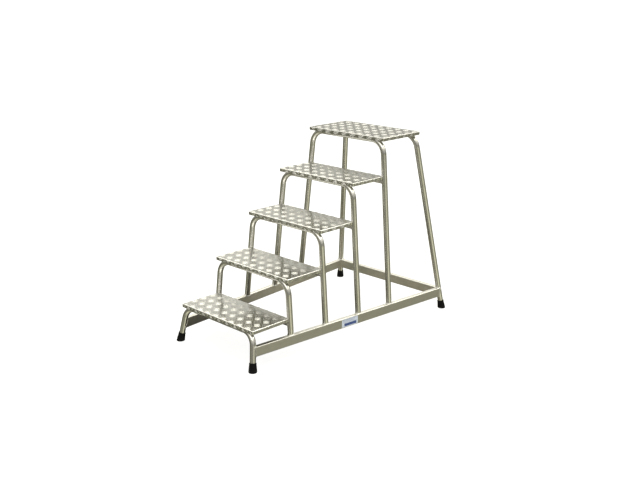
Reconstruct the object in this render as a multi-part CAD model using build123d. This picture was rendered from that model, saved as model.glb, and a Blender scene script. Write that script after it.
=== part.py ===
"""Free-standing mounting block: five chequer-plate treads on a welded aluminium tube frame.

Units are millimetres. +X is the climber's right, +Y is the climbing direction, +Z is up.
The origin is on the floor, in the middle of the block's own box.
Each hoop is an upside-down U of round tube: a level run under a tread and two splayed legs.
"""
from build123d import *
from dataclasses import dataclass
from math import atan2, degrees
import os

# Treads
STEPS = 5
RISE = 200.0
GOING = 230.0
TREAD_WIDTH = 540.0
TREAD_DEPTH = 240.0
PLATFORM_DEPTH = 300.0
PLATE = 3.0
FLANGE = 18.0
PLATE_BEND = 3.0
CORNER_BEND = 1.5

# Hoops of round tube
TUBE_RADIUS = 15.0
TUBE_WALL = 2.0
BEND_RADIUS = 80.0
FRONT_BEND_RADIUS = 70.0
CORNER_X = 252.0
RUN_DROP = PLATE + TUBE_RADIUS
RUN_SETBACK = RUN_DROP + 0.3
STEP_SPLAY = 0.100
STEP_LEAN = -0.033
FRONT_SPLAY = 0.150
FRONT_LEAN = -0.170
REAR_SPLAY = 0.143
REAR_LEAN = 0.111

# Cross bars under the rear edges of the treads
BAR_RADIUS = 12.5
BAR_WALL = 2.0
BAR_DROP = FLANGE + BAR_RADIUS
NOTCH_GAP = 0.5

# Base rails of rectangular tube
RAIL_BOTTOM = 70.0
RAIL_TOP = 120.0
RAIL_WIDTH = 25.0
RAIL_WALL = 2.0
RAIL_EDGE = 3.0
RAIL_MIDDLE = (RAIL_BOTTOM + RAIL_TOP) / 2

# Rubber feet and the washers inside them
FOOT_BASE_RADIUS = 21.0
FOOT_TOP_RADIUS = 17.5
FOOT_HEIGHT = 45.0
FOOT_SKIRT = 10.0
FOOT_EDGE = 1.5
FOOT_SOLE = 12.0
WASHER_THICKNESS = 2.0
WASHER_RADIUS = 14.0
WASHER_HOLE = 4.0

# Label on the right rail
LABEL_LENGTH = 110.0
LABEL_HEIGHT = 42.0
LABEL_THICKNESS = 0.4
LABEL_SETBACK = 19.0

# Weld beads
BEAD_RADIUS = 2.5
BEAD_HEIGHT = 4.5
BEAD_SPREAD = 4.0
BEAD_TOE = 2.8
BEAD_CLEAR = 1.0
STITCH_LENGTH = 40.0
STITCH_X = 130.0
STITCH_OFFSET = 0.6

# The first tread's front edge, placed so that the origin is midway between the feet's far edges.
FIRST_FOOT_EDGE = RUN_SETBACK + FRONT_LEAN * (RISE - RUN_DROP) - FOOT_BASE_RADIUS
LAST_RUN = (STEPS - 1) * GOING + PLATFORM_DEPTH - RUN_SETBACK
LAST_FOOT_EDGE = LAST_RUN + REAR_LEAN * (STEPS * RISE - RUN_DROP) + FOOT_BASE_RADIUS
FRONT_Y = -(FIRST_FOOT_EDGE + LAST_FOOT_EDGE) / 2

SIDES = (-1, 1)
SIDE_NAMES = {-1: "left", 1: "right"}
LONG = 60.0


@dataclass
class Hoop:
    """A hoop's level run and the slope of its legs, as sideways travel for each unit of drop."""

    top: float
    run_y: float
    splay: float
    lean: float
    bend: float = BEND_RADIUS


def tread_top(step):
    return step * RISE


def tread_front(step):
    return FRONT_Y + (step - 1) * GOING


def front_hoop(step):
    run_y = tread_front(step) + RUN_SETBACK
    if step == 1:
        return Hoop(tread_top(step), run_y, FRONT_SPLAY, FRONT_LEAN, FRONT_BEND_RADIUS)
    return Hoop(tread_top(step), run_y, STEP_SPLAY, STEP_LEAN)


def rear_hoop():
    return Hoop(tread_top(STEPS), FRONT_Y + LAST_RUN, REAR_SPLAY, REAR_LEAN)


def leg_point(hoop, side, z):
    """Point on a leg's straight centre line at height z."""
    drop = hoop.top - RUN_DROP - z
    return Vector(side * (CORNER_X + hoop.splay * drop), hoop.run_y + hoop.lean * drop, z)


def leg_axis(hoop, side):
    """Unit vector up the leg."""
    return (leg_point(hoop, side, 1.0) - leg_point(hoop, side, 0.0)).normalized()


def rod(start, end, radius):
    """Solid round bar from start to end."""
    axis = end - start
    bar = Cylinder(radius, axis.length, align=(Align.CENTER, Align.CENTER, Align.MIN))
    return Plane(origin=start, z_dir=axis) * bar


def leg_rod(hoop, side, radius, low, high):
    """Solid round bar along a leg, between two heights."""
    return rod(leg_point(hoop, side, low), leg_point(hoop, side, high), radius)


def swept(path, radius):
    section = Plane(origin=path @ 0, z_dir=path % 0) * Circle(radius)
    return sweep(section, path=path)


def hoop_tube(hoop, leg_end):
    """Bent tube whose centre line ends at height leg_end on both legs."""
    corner = hoop.top - RUN_DROP
    path = FilletPolyline(
        leg_point(hoop, -1, leg_end),
        leg_point(hoop, -1, corner),
        leg_point(hoop, 1, corner),
        leg_point(hoop, 1, leg_end),
        radius=hoop.bend,
    )
    return swept(path, TUBE_RADIUS) - swept(path, TUBE_RADIUS - TUBE_WALL)


def standing_hoop(hoop):
    """Hoop whose legs are cut level, to stand on the side rails."""
    below = Pos(0, hoop.run_y, RAIL_TOP - LONG) * Box(2 * TREAD_WIDTH, 4 * LONG, 2 * LONG)
    return hoop_tube(hoop, RAIL_TOP - LONG / 2) - below


def foot_point(hoop, side, reach):
    """Point on a leg's centre line, reach up the line from the floor."""
    return leg_point(hoop, side, 0.0) + leg_axis(hoop, side) * reach


def footed_hoop(hoop):
    """Hoop whose legs are cut square, to end inside the rubber feet."""
    return hoop_tube(hoop, foot_point(hoop, 1, FOOT_SOLE).Z)


def pan(depth, front, top):
    """Plate folded down on all four edges, open below."""
    middle = front + depth / 2
    outer = Pos(0, middle, top - FLANGE / 2) * Box(TREAD_WIDTH, depth, FLANGE)
    outer = fillet(outer.edges().filter_by(Axis.Z), CORNER_BEND)
    outer = fillet(outer.faces().sort_by(Axis.Z)[-1].edges(), PLATE_BEND)
    inner = Pos(0, middle, top - PLATE - FLANGE / 2) * Box(
        TREAD_WIDTH - 2 * PLATE, depth - 2 * PLATE, FLANGE
    )
    return outer - inner


def tread(step):
    """Tread whose rear corners are notched around the next hoop's legs."""
    plate = pan(TREAD_DEPTH, tread_front(step), tread_top(step))
    hoop = front_hoop(step + 1)
    for side in SIDES:
        notch = leg_rod(
            hoop, side, TUBE_RADIUS + NOTCH_GAP, tread_top(step) - LONG, tread_top(step) + LONG
        )
        plate = plate - notch
    return plate


def platform():
    return pan(PLATFORM_DEPTH, tread_front(STEPS), tread_top(STEPS))


def bar_end(step, side):
    """Where a cross bar's centre line meets the next hoop's leg."""
    return leg_point(front_hoop(step + 1), side, tread_top(step) - BAR_DROP)


def cross_bar(step):
    """Round tube between the next hoop's legs, coped to fit them."""
    left, right = bar_end(step, -1), bar_end(step, 1)
    bar = rod(left, right, BAR_RADIUS) - rod(left, right, BAR_RADIUS - BAR_WALL)
    hoop = front_hoop(step + 1)
    for side in SIDES:
        bar = bar - leg_rod(hoop, side, TUBE_RADIUS, left.Z - LONG, left.Z + LONG)
    return bar


def rail_solid(start, end, inset):
    """Bar with a rectangular section, smaller all round by inset, between two points."""
    run = end - start
    width = RAIL_WIDTH - 2 * inset
    height = RAIL_TOP - RAIL_BOTTOM - 2 * inset
    bar = Box(run.length, width, height, align=(Align.MIN, Align.CENTER, Align.CENTER))
    bar = fillet(bar.edges().filter_by(Axis.X), max(RAIL_EDGE - inset, 0.5))
    turn = degrees(atan2(run.Y, run.X))
    return Pos(start.X, start.Y, start.Z) * Rot(0, 0, turn) * bar


def side_rail_ends(side):
    start = leg_point(front_hoop(1), side, RAIL_MIDDLE)
    end = leg_point(rear_hoop(), side, RAIL_MIDDLE)
    return start, end


def end_legs(side):
    """Solid bars where the front and rear legs pass the rails."""
    low, high = RAIL_BOTTOM - LONG, RAIL_TOP + LONG / 2
    front = leg_rod(front_hoop(1), side, TUBE_RADIUS, low, high)
    rear = leg_rod(rear_hoop(), side, TUBE_RADIUS, low, high)
    return front, rear


def side_rail(side):
    """Rectangular tube from the front leg to the rear leg, coped to fit both."""
    start, end = side_rail_ends(side)
    rail = rail_solid(start, end, 0) - rail_solid(start, end, RAIL_WALL)
    for leg in end_legs(side):
        rail = rail - leg
    return rail.solids().sort_by(SortBy.VOLUME)[-1]


def rear_rail():
    """Rectangular tube between the rear legs, coped to the legs and the side rails."""
    left = leg_point(rear_hoop(), -1, RAIL_MIDDLE)
    right = leg_point(rear_hoop(), 1, RAIL_MIDDLE)
    rail = rail_solid(left, right, 0) - rail_solid(left, right, RAIL_WALL)
    for side in SIDES:
        start, end = side_rail_ends(side)
        rail = rail - rail_solid(start, end, 0) - end_legs(side)[1]
    return rail.solids().sort_by(SortBy.VOLUME)[-1]


def foot(hoop, side):
    """Rubber ferrule pushed on to a leg, flared at its base and cut flat on the floor."""
    outline = Polyline(
        (0, -FOOT_SKIRT),
        (FOOT_BASE_RADIUS, -FOOT_SKIRT),
        (FOOT_BASE_RADIUS, FOOT_SKIRT),
        (FOOT_TOP_RADIUS, FOOT_HEIGHT),
        (0, FOOT_HEIGHT),
        (0, -FOOT_SKIRT),
    )
    body = revolve(make_face(Plane.XZ * outline), axis=Axis.Z)
    body = fillet(body.faces().sort_by(Axis.Z)[-1].edges(), FOOT_EDGE)
    axis = leg_axis(hoop, side)
    body = Plane(origin=foot_point(hoop, side, 0), z_dir=axis) * body
    socket = leg_rod(hoop, side, TUBE_RADIUS, foot_point(hoop, side, FOOT_SOLE).Z, LONG)
    floor_point = leg_point(hoop, side, 0.0)
    below = Pos(floor_point.X, floor_point.Y, -LONG / 2) * Box(2 * LONG, 2 * LONG, LONG)
    return body - socket - washer_space(hoop, side) - below


def washer_space(hoop, side):
    low = foot_point(hoop, side, FOOT_SOLE - WASHER_THICKNESS)
    return rod(low, foot_point(hoop, side, FOOT_SOLE), WASHER_RADIUS)


def washer(hoop, side):
    """Steel disc that stops the tube's end from cutting through the rubber."""
    low = foot_point(hoop, side, FOOT_SOLE - WASHER_THICKNESS)
    hole = rod(low, foot_point(hoop, side, FOOT_SOLE), WASHER_HOLE)
    return washer_space(hoop, side) - hole


def foot_washers():
    return [washer(hoop, side) for hoop in (front_hoop(1), rear_hoop()) for side in SIDES]


def rail_label():
    """Plain foil label on the outer face of the right rail, just in front of the fourth hoop."""
    start, end = side_rail_ends(1)
    along = (end - start).normalized()
    leg_y = leg_point(front_hoop(4), 1, RAIL_TOP).Y
    reach = (leg_y - start.Y) / along.Y - LABEL_SETBACK - LABEL_LENGTH
    centre = start + along * (reach + LABEL_LENGTH / 2)
    outward = Vector(along.Y, -along.X, 0)
    centre = centre + outward * (RAIL_WIDTH / 2 + LABEL_THICKNESS / 2)
    label = Box(LABEL_LENGTH, LABEL_THICKNESS, LABEL_HEIGHT)
    turn = degrees(atan2(along.Y, along.X))
    return Pos(centre.X, centre.Y, centre.Z) * Rot(0, 0, turn) * label


def leg_bead(step, side):
    """Fillet weld round the foot of a leg that stands on a rail."""
    hoop = front_hoop(step)
    ring = Cone(
        TUBE_RADIUS + BEAD_SPREAD, TUBE_RADIUS + BEAD_TOE, BEAD_HEIGHT,
        align=(Align.CENTER, Align.CENTER, Align.MIN),
    )
    ring = Pos(*leg_point(hoop, side, RAIL_TOP)) * ring
    start, end = side_rail_ends(side)
    over_rail = Pos(0, 0, LONG / 2) * rail_solid(start, end, 0)
    ring = ring & over_rail
    return ring - leg_rod(hoop, side, TUBE_RADIUS, RAIL_TOP - LONG, RAIL_TOP + LONG)


def leg_rail_welds():
    return [leg_bead(step, side) for step in range(2, STEPS + 1) for side in SIDES]


def seam_bead(hoop, side, along, across):
    """Upright bead where one face of a rail meets a leg."""
    reach = (TUBE_RADIUS**2 - (RAIL_WIDTH / 2) ** 2) ** 0.5 + BEAD_RADIUS / 2
    shift = along * reach + across * (RAIL_WIDTH / 2 + BEAD_RADIUS / 3)
    low = leg_point(hoop, side, RAIL_BOTTOM + RAIL_EDGE) + shift
    high = leg_point(hoop, side, RAIL_TOP - RAIL_EDGE) + shift
    return rod(low, high, BEAD_RADIUS)


def rail_end_welds():
    """Upright beads on both faces of each end of each side rail and on the rear rail's back."""
    beads = []
    for side in SIDES:
        start, end = side_rail_ends(side)
        along = (end - start).normalized()
        outward = Vector(along.Y, -along.X, 0) * side
        rail = rail_solid(start, end, 0)
        front, rear = end_legs(side)
        for across in (outward, outward * -1):
            bead = seam_bead(front_hoop(1), side, along, across)
            beads.append(bead - rail - front)
        beads.append(seam_bead(rear_hoop(), side, along * -1, outward) - rail - rear)
        back = seam_bead(rear_hoop(), side, Vector(-side, 0, 0), Vector(0, 1, 0))
        left = leg_point(rear_hoop(), -1, RAIL_MIDDLE)
        right = leg_point(rear_hoop(), 1, RAIL_MIDDLE)
        beads.append(back - rail_solid(left, right, 0) - rear)
    return beads


def cross_bar_welds():
    """Open ring of weld round each end of each cross bar, clear of the tread above it."""
    beads = []
    for step in range(1, STEPS):
        hoop = front_hoop(step + 1)
        left, right = bar_end(step, -1), bar_end(step, 1)
        bar = rod(left, right, BAR_RADIUS)
        for side in SIDES:
            end = bar_end(step, side)
            inward = Vector(-side, 0, 0)
            reach = TUBE_RADIUS + BEAD_HEIGHT
            ring = Cone(
                BAR_RADIUS + BEAD_SPREAD, BAR_RADIUS + BEAD_TOE, reach,
                align=(Align.CENTER, Align.CENTER, Align.MIN),
            )
            ring = Plane(origin=end, z_dir=inward) * ring
            leg = leg_rod(hoop, side, TUBE_RADIUS, end.Z - LONG, end.Z + LONG)
            clear = tread_top(step) - FLANGE - BEAD_CLEAR
            below = Pos(end.X, end.Y, clear - LONG / 2) * Box(LONG, LONG, LONG)
            beads.append(((ring & below) - bar - leg).solids().sort_by(SortBy.VOLUME)[-1])
    return beads


def stitch(y, z, x):
    low = Vector(x - STITCH_LENGTH / 2, y, z)
    return rod(low, low + Vector(STITCH_LENGTH, 0, 0), BEAD_RADIUS)


def run_stitches(hoop, toward):
    """Stitch welds along a level run, where the folded edge of the tread touches it."""
    run = hoop.top - RUN_DROP
    y = hoop.run_y - toward * (TUBE_RADIUS + STITCH_OFFSET)
    z = hoop.top - FLANGE - BEAD_RADIUS * 0.8
    tube = rod(Vector(-CORNER_X, hoop.run_y, run), Vector(CORNER_X, hoop.run_y, run), TUBE_RADIUS)
    edge_y = hoop.run_y - toward * (RUN_SETBACK - PLATE / 2)
    edge = Pos(0, edge_y, hoop.top - FLANGE / 2) * Box(TREAD_WIDTH, PLATE, FLANGE)
    return [stitch(y, z, x) - tube - edge for x in (-STITCH_X, STITCH_X)]


def bar_stitches(step):
    """Stitch welds along a cross bar, on the inner side of the tread's rear fold."""
    left, right = bar_end(step, -1), bar_end(step, 1)
    bar = rod(left, right, BAR_RADIUS)
    fold_y = tread_front(step) + TREAD_DEPTH - PLATE
    edge = Pos(0, fold_y + PLATE / 2, tread_top(step) - FLANGE / 2) * Box(
        TREAD_WIDTH, PLATE, FLANGE
    )
    z = tread_top(step) - FLANGE
    return [stitch(fold_y - BEAD_RADIUS / 2, z, x) - bar - edge for x in (-STITCH_X, STITCH_X)]


def tread_welds():
    beads = []
    for step in range(1, STEPS + 1):
        beads += run_stitches(front_hoop(step), 1)
    for step in range(1, STEPS):
        beads += bar_stitches(step)
    return beads + run_stitches(rear_hoop(), -1)


def parts():
    """Every node of the block, by name."""
    nodes = {}
    for step in range(1, STEPS):
        nodes[f"tread_{step}"] = tread(step)
        nodes[f"cross_bar_{step}"] = cross_bar(step)
    nodes["top_platform"] = platform()
    nodes["front_frame_1"] = footed_hoop(front_hoop(1))
    for step in range(2, STEPS + 1):
        nodes[f"front_frame_{step}"] = standing_hoop(front_hoop(step))
    nodes["rear_frame"] = footed_hoop(rear_hoop())
    for side in SIDES:
        nodes[f"{SIDE_NAMES[side]}_rail"] = side_rail(side)
        nodes[f"foot_front_{SIDE_NAMES[side]}"] = foot(front_hoop(1), side)
        nodes[f"foot_rear_{SIDE_NAMES[side]}"] = foot(rear_hoop(), side)
    nodes["rear_rail"] = rear_rail()
    nodes["foot_washers"] = Compound(children=foot_washers())
    nodes["rail_label"] = rail_label()
    nodes["leg_rail_welds"] = Compound(children=leg_rail_welds())
    nodes["rail_end_welds"] = Compound(children=rail_end_welds())
    nodes["cross_bar_welds"] = Compound(children=cross_bar_welds())
    nodes["tread_welds"] = Compound(children=tread_welds())
    return nodes


def main():
    os.makedirs("parts", exist_ok=True)
    for name, shape in parts().items():
        export_step(shape, f"parts/{name}.step")


if __name__ == "__main__":
    main()
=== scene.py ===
"""Looks of a five-step mounting block: chequer-plate treads on a welded aluminium tube frame.

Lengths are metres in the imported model's own frame: +X is the climber's right, +Y runs up the
steps, +Z is up, and the origin is on the floor. Slopes are sideways travel for a unit of drop.
"""

import math

import bpy
import numpy as np
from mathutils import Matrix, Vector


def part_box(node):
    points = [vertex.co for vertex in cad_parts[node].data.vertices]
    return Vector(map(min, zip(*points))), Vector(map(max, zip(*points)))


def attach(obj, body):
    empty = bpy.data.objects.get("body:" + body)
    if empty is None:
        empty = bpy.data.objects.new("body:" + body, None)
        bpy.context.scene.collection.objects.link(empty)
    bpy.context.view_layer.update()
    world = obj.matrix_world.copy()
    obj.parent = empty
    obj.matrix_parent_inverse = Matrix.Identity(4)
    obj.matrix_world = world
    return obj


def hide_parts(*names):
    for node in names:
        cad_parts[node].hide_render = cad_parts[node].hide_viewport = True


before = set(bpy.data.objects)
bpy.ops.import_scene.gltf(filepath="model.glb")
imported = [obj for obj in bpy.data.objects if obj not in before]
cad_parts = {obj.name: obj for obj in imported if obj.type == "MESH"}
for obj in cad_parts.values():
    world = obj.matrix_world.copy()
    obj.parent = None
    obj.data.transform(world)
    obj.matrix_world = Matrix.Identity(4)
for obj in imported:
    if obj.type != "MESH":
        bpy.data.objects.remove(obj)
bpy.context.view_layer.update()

STEPS = 5
SIDES = (-1, 1)

# Round tube of the hoops
TUBE_RADIUS = 0.015
TUBE_WALL = 0.002
BEND_RADIUS = 0.080
FRONT_BEND_RADIUS = 0.070
TUBE_SIDES = 56
BEND_STEPS = 22
CORNER_X = 0.252
STEP_SPLAY = 0.100
STEP_LEAN = -0.033
FRONT_SPLAY = 0.150
FRONT_LEAN = -0.170
REAR_SPLAY = 0.143
REAR_LEAN = 0.111

# Folded plate of the treads
PLATE = 0.003
FLANGE = 0.018
FOLD_RADIUS = 0.0042
CORNER_RADIUS = 0.0055
FOLD_STEPS = 6
EDGE_BREAK = 0.0004
NOTCH_GAP = 0.0005
RUN_DROP = PLATE + TUBE_RADIUS
RUN_SETBACK = RUN_DROP + 0.0003

# Raised pattern: groups of five short bars, turned a quarter from one group to the next, and
# where the pattern starts on each sheet
GROUP_PITCH = 0.060
BARS_IN_GROUP = 5
BAR_SPACING = 0.0076
BAR_LENGTH = 0.0330
BAR_WIDTH = 0.0056
BAR_HEIGHT = 0.0013
BAR_SINK = 0.0003
BAR_CLEAR = 0.0020
BAR_ACROSS = 7
BAR_STATIONS = np.array((0, 0.015, 0.10, 0.28, 0.5, 0.72, 0.90, 0.985, 1))
BAR_TIP = 0.985
BAR_SHORTEST = 0.35
BAR_SIDE_POWER = 0.6
BAR_END_POWER = 0.75
SHEET_PAST = FOLD_RADIUS * math.pi / 2 + FLANGE - FOLD_RADIUS - EDGE_BREAK
GROUPS_ACROSS = np.arange(-6, 7)
GROUPS_BACK = np.arange(-2, 7)
SHEET_OFFSETS = {
    1: (-0.015, 0.008),
    2: (-0.020, 0.035),
    3: (0.001, 0.060),
    4: (-0.010, 0.010),
    5: (0.023, 0.024),
}

# Cross bars, rails and feet
BAR_TUBE_RADIUS = 0.0125
BAR_TUBE_WALL = 0.002
BAR_DROP = FLANGE + BAR_TUBE_RADIUS
RAIL_WIDTH = 0.025
RAIL_WALL = 0.002
RAIL_EDGE = 0.003
RAIL_ARC_STEPS = 6
RAIL_SIDE_STEPS = 8
FOOT_SOLE = 0.012

# Weld beads: half width and half height, and how far their middle line stands off the joint
BEAD_WIDTH = 0.0031
BEAD_HEIGHT = 0.0017
BEAD_FOOT = 0.0006
RIPPLE_PITCH = 0.0025
RIPPLE_DEPTH = 0.11
RIPPLE_LAG = 1.1
STATIONS_PER_RIPPLE = 4
BEAD_SIDES = 10
BEAD_REACH = 0.97
BEAD_TAPER = 8
OVERHANG_MARGIN = 0.001
OVERHANG_DIP = 0.003
OVERHANG_LEAN = 0.004
SEAM_WIDTH = 0.0010
SEAM_SINK = 0.0002
SEAM_SHORT = 0.001
STITCH_X = 0.130
STITCH_LENGTH = 0.040
STITCH_SPREAD = np.linspace(-0.5, 0.5, 9)[:, None]

# Degrees between two faces past which the edge between them is left sharp
SHARP_ANGLE = 35

UP = np.array((0.0, 0.0, 1.0))
ALONG_Y = np.array((0.0, 1.0, 0.0))


# ---------------------------------------------------------------- where the CAD parts are


def vector(*values):
    return np.array(values, float)


def unit(v):
    return v / np.linalg.norm(v, axis=-1, keepdims=True)


def tread_node(step):
    return f"tread_{step}" if step < STEPS else "top_platform"


def tread_front(step):
    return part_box(tread_node(step))[0].y


def tread_rear(step):
    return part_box(tread_node(step))[1].y


def tread_top(step):
    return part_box(tread_node(step))[1].z


TREAD_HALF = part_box("tread_1")[1].x
RAIL_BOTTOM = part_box("rear_rail")[0].z
RAIL_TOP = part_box("rear_rail")[1].z
RAIL_MIDDLE = (RAIL_BOTTOM + RAIL_TOP) / 2


class Hoop:
    """An upside-down U of tube: a level run below a tread's edge and two sloping legs."""

    def __init__(self, top, run_y, splay, lean, bend=BEND_RADIUS):
        self.run = vector(0, run_y, top - RUN_DROP)
        self.splay = splay
        self.lean = lean
        self.bend = bend

    def corner(self, side):
        return self.run + vector(side * CORNER_X, 0, 0)

    def leg_at(self, side, z):
        """Point of a leg's centre line at height z."""
        drop = self.run[2] - z
        return vector(side * (CORNER_X + self.splay * drop), self.run[1] + self.lean * drop, z)

    def leg_axis(self, side):
        """Unit vector up a leg."""
        return unit(vector(-side * self.splay, -self.lean, 1))

    def foot_at(self, side, reach):
        """Point of a leg's centre line, reach above the floor along the leg."""
        return self.leg_at(side, 0) + self.leg_axis(side) * reach


def front_hoop(step):
    run_y = tread_front(step) + RUN_SETBACK
    if step == 1:
        return Hoop(tread_top(step), run_y, FRONT_SPLAY, FRONT_LEAN, FRONT_BEND_RADIUS)
    return Hoop(tread_top(step), run_y, STEP_SPLAY, STEP_LEAN)


def rear_hoop():
    return Hoop(tread_top(STEPS), tread_rear(STEPS) - RUN_SETBACK, REAR_SPLAY, REAR_LEAN)


# ---------------------------------------------------------------- surfaces


class Shell:
    """Points and faces of one closed solid, and the grain coordinates that its finish follows."""

    def __init__(self, points, faces, grain=None):
        self.points = np.asarray(points, float).reshape(-1, 3)
        self.faces = faces
        self.grain = self.points if grain is None else np.asarray(grain, float).reshape(-1, 3)

    def volume(self):
        """Signed volume: a sixth of the sum over fan triangles of a . (b x c)."""
        total = 0.0
        for face in self.faces:
            corners = self.points[face]
            a, b, c = corners[:, :1], corners[:, 1:-1], corners[:, 2:]
            total += np.einsum("ijk,ijk->", np.broadcast_to(a, b.shape), np.cross(b, c))
        return total / 6

    def outward(self):
        """The same solid with its faces looking out."""
        if self.volume() < 0:
            self.faces = [face[:, ::-1] for face in self.faces]
        return self


def joined(shells):
    """One shell that holds several."""
    points, faces, grain, start = [], [], [], 0
    for shell in shells:
        points.append(shell.points)
        grain.append(shell.grain)
        faces += [face + start for face in shell.faces]
        start += len(shell.points)
    return Shell(np.concatenate(points), faces, np.concatenate(grain))


def grid_faces(rows, columns, wrap_rows=False, wrap_columns=False):
    """Corner numbers of the four-sided faces of a grid of points, row after row."""
    row, column = np.meshgrid(
        np.arange(rows - (not wrap_rows)), np.arange(columns - (not wrap_columns)), indexing="ij"
    )
    next_row = (row + 1) % rows * columns
    next_column = (column + 1) % columns
    row = row * columns
    corners = (row + column, row + next_column, next_row + next_column, next_row + column)
    return np.stack(corners, axis=-1).reshape(-1, 4)


def ring_solid(rings, grain=None, wrap=False):
    """Closed solid through closed rings of points: wrapped on itself, or capped at both ends."""
    count, sides = rings.shape[:2]
    faces = [grid_faces(count, sides, wrap, True)]
    if not wrap:
        faces.append(np.arange(sides)[None, ::-1])
        faces.append(np.arange(sides)[None] + (count - 1) * sides)
    return Shell(rings, faces, grain).outward()


def circle_loop(radius, sides):
    """Points of a circle, as two offsets each: radius times the cosine and sine of the angle."""
    angle = np.linspace(0, 2 * math.pi, sides, endpoint=False)
    return radius * np.stack([np.cos(angle), np.sin(angle)], axis=-1)


QUADRANTS = ((1, 1), (-1, 1), (-1, -1), (1, -1))


def box_loop(width, height, radius, corner_steps, side_steps):
    """Points of a rounded rectangle: a quarter circle at each corner and evenly spaced sides."""
    points = []
    reach = vector(width / 2 - radius, height / 2 - radius)
    share = np.linspace(0, 1, side_steps + 1)[1:-1, None]
    for corner in range(4):
        angle = np.linspace(0, math.pi / 2, corner_steps) + corner * math.pi / 2
        centre = reach * QUADRANTS[corner]
        arc = centre + radius * np.stack([np.cos(angle), np.sin(angle)], axis=-1)
        following = reach * QUADRANTS[(corner + 1) % 4]
        turn = (corner + 1) * math.pi / 2
        target = following + radius * vector(math.cos(turn), math.sin(turn))
        points += [arc, arc[-1] + (target - arc[-1]) * share]
    return np.concatenate(points)


def rounded_route(corners, radius, steps):
    """Points and directions along straight runs joined by arcs.

    Each arc's centre lies on the bisector of its corner, radius / sin(half the corner) away.
    """
    points = [corners[0][None]]
    directions = [unit(corners[1] - corners[0])[None]]
    for before, corner, after in zip(corners, corners[1:], corners[2:]):
        back, on = unit(before - corner), unit(after - corner)
        half = math.acos(float(back @ on)) / 2
        centre = corner + unit(back + on) * radius / math.sin(half)
        out = unit(corner + back * radius / math.tan(half) - centre)
        angle = np.linspace(0, math.pi - 2 * half, steps)[:, None]
        points.append(centre + radius * (np.cos(angle) * out - np.sin(angle) * back))
        directions.append(-np.sin(angle) * out - np.cos(angle) * back)
    points.append(corners[-1][None])
    directions.append(unit(corners[-1] - corners[-2])[None])
    return np.concatenate(points), np.concatenate(directions)


def lengths_along(points):
    """Distance from the first point to each point, along them."""
    runs = np.linalg.norm(np.diff(points, axis=0), axis=1)
    return np.concatenate([[0], np.cumsum(runs)])


def loop_normals(loop):
    """Outward normals of an anticlockwise loop: its tangents turned a quarter clockwise."""
    tangent = unit(np.roll(loop, -1, axis=0) - np.roll(loop, 1, axis=0))
    return np.stack([tangent[:, 1], -tangent[:, 0]], axis=-1)


def tube_rings(points, directions, normal, radius):
    """Circles of the radius round a flat path, square to it, and their grain coordinates."""
    loop = circle_loop(radius, TUBE_SIDES)
    side = np.cross(directions, normal)
    rings = points[:, None] + loop[None, :, :1] * normal + loop[None, :, 1:] * side[:, None]
    along = np.broadcast_to(lengths_along(points)[:, None, None], rings.shape[:2] + (1,))
    around = np.broadcast_to(loop, rings.shape[:2] + (2,))
    return rings, np.concatenate([around, along], axis=-1)


def slide_level(ring, direction, height):
    """The ring's points moved along the direction to one height."""
    return ring + direction * ((height - ring[:, 2:]) / direction[2])


def cylinder_reach(points, direction, centre, axis, radius):
    """Distance from each point, along the direction, to a long cylinder's far surface.

    It solves |w + t e| = radius for t, where w and e are the offset and the direction with their
    part along the axis taken out. A line that misses the cylinder ends where it passes nearest.
    """
    offset = points - centre
    offset = offset - (offset @ axis)[:, None] * axis
    across = direction - (direction @ axis) * axis
    a, b = across @ across, offset @ across
    c = np.einsum("ij,ij->i", offset, offset) - radius**2
    root = np.sqrt(np.maximum(b * b - a * c, 0))
    return (root - b) / a


# ---------------------------------------------------------------- pieces


def piece(name, shells, finish, nodes):
    """Puts the shells into one mesh that rides on the frame and stands for the CAD nodes."""
    whole = joined(shells)
    faces = [corners for face in whole.faces for corners in face.tolist()]
    mesh = bpy.data.meshes.new(name)
    mesh.from_pydata(whole.points.tolist(), [], faces)
    mesh.attributes.new("grain", "FLOAT_VECTOR", "POINT")
    mesh.attributes["grain"].data.foreach_set("vector", whole.grain.ravel())
    mesh.polygons.foreach_set("use_smooth", np.ones(len(mesh.polygons), bool))
    mesh.set_sharp_from_angle(angle=math.radians(SHARP_ANGLE))
    mesh.materials.append(finish)
    mesh.validate()
    obj = bpy.data.objects.new(name, mesh)
    bpy.context.scene.collection.objects.link(obj)
    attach(obj, "root")
    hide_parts(*nodes)
    return obj


def weighted(obj, name):
    """Lets the large faces lead the shading, so that flat and straight parts look true."""
    obj.modifiers.new(name, "WEIGHTED_NORMAL").keep_sharp = True


def hoop_shell(hoop, leg_end, level):
    """Bent tube with its bore, cut level on a rail or square inside a foot."""
    corners = [hoop.leg_at(-1, leg_end), hoop.corner(-1), hoop.corner(1), hoop.leg_at(1, leg_end)]
    points, directions = rounded_route(corners, hoop.bend, BEND_STEPS)
    normal = unit(np.cross(vector(1, 0, 0), hoop.leg_axis(1)))
    skins = []
    for radius in (TUBE_RADIUS, TUBE_RADIUS - TUBE_WALL):
        rings, grain = tube_rings(points, directions, normal, radius)
        if level:
            rings[0] = slide_level(rings[0], directions[0], leg_end)
            rings[-1] = slide_level(rings[-1], directions[-1], leg_end)
        skins.append((rings, grain))
    (outer, outer_grain), (inner, inner_grain) = skins
    rings = np.concatenate([outer, inner[::-1]])
    return ring_solid(rings, np.concatenate([outer_grain, inner_grain[::-1]]), wrap=True)


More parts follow.
